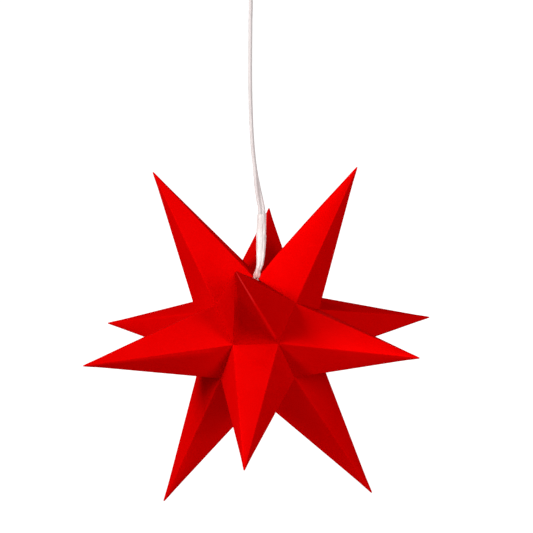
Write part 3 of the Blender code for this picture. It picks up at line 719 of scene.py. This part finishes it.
def spike_row(axis, corners, tip, level, inset=SEAM, lift=0, buckle=None):
    """One ring of a spike's skin: five rounded corners, and five panels that bow a little between them."""
    middle = sum(corners, Vector()) / PANELS
    flat = ((corners[0] + corners[1]) / 2 - middle).length
    share = 1 - level + TIP_BLUNT * step_up(level, TIP_BLUNT_SHARE, 1) - inset / flat
    centre = middle.lerp(tip, level) + axis * lift
    radius = FOLD_FOOT + (FOLD_RADIUS - FOLD_FOOT) * step_up(level, 0, FOLD_FULL_SHARE)
    radius = min(max(FOLD_LEAST, radius - inset), FOLD_ROOM_SHARE * flat * share)
    rounding = FOLD_REACH * max(0, radius - FOLD_FOOT)
    peaks = []
    for corner in corners:
        reach = corner - middle
        peak = centre + reach * (share + rounding / reach.length)
        if axis == PUSHED_AXIS and corner.normalized().dot(CORNER_WAY) > SAME_WAY:
            peak += PUSH * (1 - step_up(level, 0, PUSH_END_SHARE))
        peaks.append(peak)
    arcs = fold_arcs(peaks, radius)
    row = []
    for i in range(PANELS):
        start = arcs[i][-1]
        end = arcs[(i + 1) % PANELS][0]
        outward = ((start + end) / 2 - centre).normalized()
        sample = [part * scale for part, scale in zip(axis, BOW_SAMPLES)]
        sample[0] += i * BOW_SAMPLE_STEP
        bow = PANEL_BOW * (1 + PANEL_BOW_SPREAD * noise.noise(sample)) * 4 * level * (1 - level)
        row += arcs[i]
        for u in PANEL_SHARES:
            rise = bow * 4 * u * (1 - u)
            if buckle and i == buckle[0]:
                rise = buckle_rise(u if buckle[1] else 1 - u, level, *buckle[2:])
            row.append(start.lerp(end, u) + outward * rise)
    return row


def buckle_rise(across, level, end, proud, dent):
    """How far a buckled panel stands out: dented below its slanting line, proud along it, and flat at its ridges."""
    top = 1 - across * (1 - level)
    crest = top * end
    if level >= crest:
        rise = proud * crest * (top - level) / (top - crest)
    elif level < DEEPEST_SHARE * crest:
        rise = -dent * level / DEEPEST_SHARE
    else:
        rise = proud * crest - (proud + dent) * (crest - level) / (1 - DEEPEST_SHARE)
    return rise * step_up(across, 0, BUCKLE_EDGE_SHARE)


def buckle_of(name, corners):
    """Which panel of a spike has buckled, whether its fold line starts at that panel's far corner, and how."""
    for (spike, facing), (start, end, proud, dent) in BUCKLES.items():
        if spike == name:
            way = SPIKE_AXES[facing]
            panel = max(range(PANELS), key=lambda i: (corners[i] + corners[(i + 1) % PANELS]).dot(way))
            toward = SPIKE_AXES[start]
            far = corners[(panel + 1) % PANELS].dot(toward) > corners[panel].dot(toward)
            return panel, far, end, proud, dent
    return None


def highlit_corner(name, corners):
    """Which corner of a spike the fold with the strong painted highlight starts from."""
    if name != HIGHLIT_FOLD[0]:
        return None
    beside = SPIKE_AXES[HIGHLIT_FOLD[1]] + SPIKE_AXES[HIGHLIT_FOLD[2]]
    return max(range(PANELS), key=lambda i: corners[i].dot(beside))


def mark_fold_highlights(rows, fold_highlight, highlit_index):
    """Writes on the vertices how strong the painted highlight along each fold is, partly also the film's whitening
    there.
    """
    for row, level in zip(rows, LEVEL_SHARES):
        highlight = HIGHLIGHT_LOW + (1 - HIGHLIGHT_LOW) * step_up(level, HIGHLIGHT_HIGH_START_SHARE, HIGHLIGHT_HIGH_END_SHARE)
        highlight = max(FOLD_PALENESS_AND_HIGHLIGHT, highlight * step_up(level, HIGHLIGHT_START_SHARE, HIGHLIGHT_END_SHARE))
        for k, vert in enumerate(row):
            # Painted highlight along the folds, strong on the fold that catches the light
            if k % PER_SIDE <= FOLD_STEPS:
                vert[fold_highlight] = highlight if k // PER_SIDE == highlit_index else FOLD_PALENESS_AND_HIGHLIGHT


def add_tab(shape, feet, corners, panel):
    """A glue tab folded in along a panel's foot, and the film's edge round the corner before that panel."""
    outer, inner = feet
    first = panel * PER_SIDE + FOLD_STEPS + 1
    last = (panel + 1) * PER_SIDE - 1
    steps = last - first
    inward = -(corners[panel] + corners[(panel + 1) % PANELS]).normalized()
    along = (outer[last].co - outer[first].co).normalized()
    through = along.cross(inward)
    if through.dot(sum(corners, Vector()) / PANELS + inward * CORE_RADIUS) < 0:
        through.negate()
    start = outer[first].co + along * TAB_MITRE + inward * TAB_WIDTH
    end = outer[last].co - along * TAB_MITRE + inward * TAB_WIDTH
    lips = []
    for depth in (0, FILM):
        points = [start.lerp(end, k / steps) + through * depth for k in range(steps + 1)]
        lips.append([shape.verts.new(point) for point in points])
    for k in range(steps):
        for foot, lip in zip(feet, lips):
            shape.faces.new((foot[first + k], foot[first + k + 1], lip[k + 1], lip[k]))
        shape.faces.new((lips[0][k], lips[0][k + 1], lips[1][k + 1], lips[1][k]))
    for root, k in ((first, 0), (last, -1)):
        shape.faces.new((outer[root], inner[root], lips[1][k], lips[0][k]))
    for k in range(panel * PER_SIDE - 1, first):
        shape.faces.new((outer[k], outer[k + 1], inner[k + 1], inner[k]))


def spike_shell(name, axis):
    """One folded film spike as a closed shell: five panels, and a glue tab folded in along each foot."""
    corners = base_corners(axis)
    right, up = TIP_MOVES.get(name, (0, 0))
    points = [vert.co - STAR_CENTRE for vert in NODES[f"spike_{name}"].data.vertices]
    tip = max(points, key=lambda point: point.length) + Vector((right, 0, up))
    buckle = buckle_of(name, corners)
    outer = []
    inner = []
    for level in LEVEL_SHARES:
        lift = 0 if level else INNER_LIFT
        outer.append(spike_row(axis, corners, tip, level, buckle=buckle))
        inner.append(spike_row(axis, corners, tip, level * INNER_SHARE, INNER_SET, lift, buckle))
    shape = bmesh.new()
    fold_highlight = shape.verts.layers.float.new("fold_highlight")
    feet = []
    for skin, top in ((outer, TIP_SHARE), (inner, TIP_SHARE * INNER_SHARE)):
        rows = [[shape.verts.new(STAR_CENTRE + point) for point in row] for row in skin]
        mark_fold_highlights(rows, fold_highlight, highlit_corner(name, corners))
        apex = shape.verts.new(STAR_CENTRE + (sum(corners, Vector()) / PANELS).lerp(tip, top))
        add_bands(shape, rows)
        add_fan(shape, rows[-1], apex)
        feet.append(rows[0])
    for panel in range(PANELS):
        add_tab(shape, feet, corners, panel)
    if name in CORNER_SPIKES:
        trim_corner(shape, axis)
    bmesh.ops.recalc_face_normals(shape, faces=shape.faces[:])
    return shape


def trim_corner(shape, axis):
    """Cuts off the corner of a spike where the cord goes in, and closes the film's edge there."""
    way = (axis - CORNER_WAY * axis.dot(CORNER_WAY)).normalized()
    bmesh.ops.bisect_plane(
        shape,
        geom=shape.verts[:] + shape.edges[:] + shape.faces[:],
        plane_co=FILM_CORNER + way * CORD_OPENING,
        plane_no=way,
        clear_inner=True,
    )
    bmesh.ops.holes_fill(shape, edges=[edge for edge in shape.edges if edge.is_boundary])


def add_spikes(material):
    """Twelve folded film spikes, with a small opening at the corner where the cores go in."""
    for name, axis in SPIKE_AXES.items():
        spike = add_piece(f"film_{name}", spike_shell(name, axis), material)
        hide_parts(f"spike_{name}")
        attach(spike, "star")


# CAD nodes that show

EDGE = 0.00012
EDGE_STEPS = 2
WELD = 1e-7
# Each node's finish, and whether its edges are rounded
SHOWN_NODES = {
    "coupling_insert": ("white", True),
    "coupling_body": ("white", True),
    "union_nut": ("white", True),
    "contact_plus": ("contacts", False),
    "contact_minus": ("contacts", False),
    "seal_ring": ("seal", False),
    "stop_bead": ("white", True),
    "lamp_holder": ("white", True),
    "core_plus": ("flex", False),
    "core_minus": ("flex", False),
    "lamp_board": ("board", True),
    "series_resistor": ("resistor", True),
    "led": ("clear", False),
    "lamp_diffuser": ("frosted", False),
}


def dress_nodes(finishes):
    """Gives each CAD node that shows its finish, and rounds the moulded ones' edges a little."""
    for node, (finish, rounded) in SHOWN_NODES.items():
        piece = NODES[node]
        piece.data.materials.clear()
        piece.data.materials.append(finishes[finish])
        if rounded:
            weld = piece.modifiers.new("Weld", "WELD")
            weld.merge_threshold = WELD
            edge = piece.modifiers.new("Edge", "BEVEL")
            edge.width = EDGE
            edge.segments = EDGE_STEPS
            edge.limit_method = "ANGLE"
            edge.angle_limit = SHARP_ANGLE


# Stage and light

FLOOR_HEIGHT = -0.40
FLOOR_RADIUS = 12
FLOOR_SIDES = 64
FLOOR_DARK = (0.24, 0.24, 0.24)
FLOOR_LIGHT = (0.26, 0.26, 0.26)
FLOOR_MOTTLE = 3
FLOOR_ROUGHNESS = 0.9
FLOOR_SHINE = 0.1
GLOW_NEAR = 0.84
GLOW_FAR = 1.02
GLOW_REACH = 1.0
WORLD_LIGHT = 0.02
LAMP_DISTANCE = 1.6
# Each lamp: its azimuth from the front and its elevation in degrees, its width and its power
LAMPS = {
    "key_high": (-50, 42, 0.4, 5.0),
    "key": (-50, 27, 0.4, 14.6),
    "key_low": (-50, 13, 0.4, 2.9),
    "key_front": (-25, 27, 0.4, 3.0),
    "side": (-80, 58, 0.4, 4.2),
    "fill_high": (37, 27, 0.4, 4.0),
    "fill": (37, 13, 0.4, 9.2),
    "fill_low": (37, 0, 0.4, 3.0),
    "back_left": (-150, 27, 0.9, 2.8),
    "back_right": (150, 27, 0.9, 3.3),
}


def floor_material():
    """Pale paper. The camera sees it as white, but for the shadow below the star. From below it isn't there."""
    made = bpy.data.materials.new("floor")
    floor = Nodes(made, Roughness=FLOOR_ROUGHNESS, Specular_IOR_Level=FLOOR_SHINE)
    floor.set("Base Color", floor.tones(floor.noise(FLOOR_MOTTLE, FEW_OCTAVES), FLOOR_DARK, FLOOR_LIGHT))
    away = floor.add("ShaderNodeVectorMath", {0: floor.place()}, operation="LENGTH").outputs["Value"]
    glow = floor.spread(away, -FLOOR_HEIGHT, GLOW_REACH, GLOW_NEAR, GLOW_FAR, "SMOOTHSTEP")
    light = floor.add("ShaderNodeEmission", {"Strength": glow}).outputs[0]
    paper = floor.shader.outputs[0]
    lit = floor.add("ShaderNodeAddShader", {0: paper, 1: light}).outputs[0]
    above = floor.choose(floor.seen(), paper, lit)
    back = floor.add("ShaderNodeNewGeometry").outputs["Backfacing"]
    through = floor.add("ShaderNodeBsdfTransparent").outputs[0]
    floor.feed(floor.choose(back, above, through), floor.tree.nodes["Material Output"].inputs["Surface"])
    return floor.owner


def add_stage():
    """A round floor below the star, which ends far outside the view."""
    shape = bmesh.new()
    bmesh.ops.create_circle(shape, cap_ends=True, segments=FLOOR_SIDES, radius=FLOOR_RADIUS)
    bmesh.ops.translate(shape, verts=shape.verts[:], vec=(0, 0, FLOOR_HEIGHT))
    for face in shape.faces:
        if face.normal.z < 0:
            face.normal_flip()
    floor = add_piece("floor", shape, floor_material(), smooth=False)


def add_world():
    """A white surround: the camera and gloss see it as white, and it lights the object softly."""
    world = bpy.data.worlds.new("surround")
    surround = Nodes(world, "Background", Color=(*WHITE, 1))
    surround.set("Strength", surround.spread(surround.seen(), 0, 1, WORLD_LIGHT, 1))
    bpy.context.scene.world = world


def add_lamps():
    """Round soft lamps that face the star from all sides."""
    for name, (azimuth, elevation, width, power) in LAMPS.items():
        light = bpy.data.lights.new(name, "AREA")
        light.shape = "DISK"
        light.size = width
        light.energy = power
        lamp = bpy.data.objects.new(name, light)
        bpy.context.scene.collection.objects.link(lamp)
        turn = math.radians(azimuth)
        rise = math.radians(elevation)
        out = Vector((math.sin(turn) * math.cos(rise), -math.cos(turn) * math.cos(rise), math.sin(rise)))
        lamp.location = STAR_CENTRE + out * LAMP_DISTANCE
        lamp.rotation_euler = out.to_track_quat("Z", "Y").to_euler()
        lamp.visible_camera = False


def main():
    """Builds the scene."""
    add_camera()
    finishes = {name: finish_material(name) for name in FINISHES}
    flex, flex_line = add_flex(finishes["flex"])
    sleeve = add_sleeve(finishes["sleeve"])
    relief = add_relief(finishes["flex"])
    dress_nodes(finishes)
    add_spikes(film_material())
    add_stage()
    add_world()
    add_lamps()
    bpy.context.scene.view_settings.view_transform = "Standard"


main()
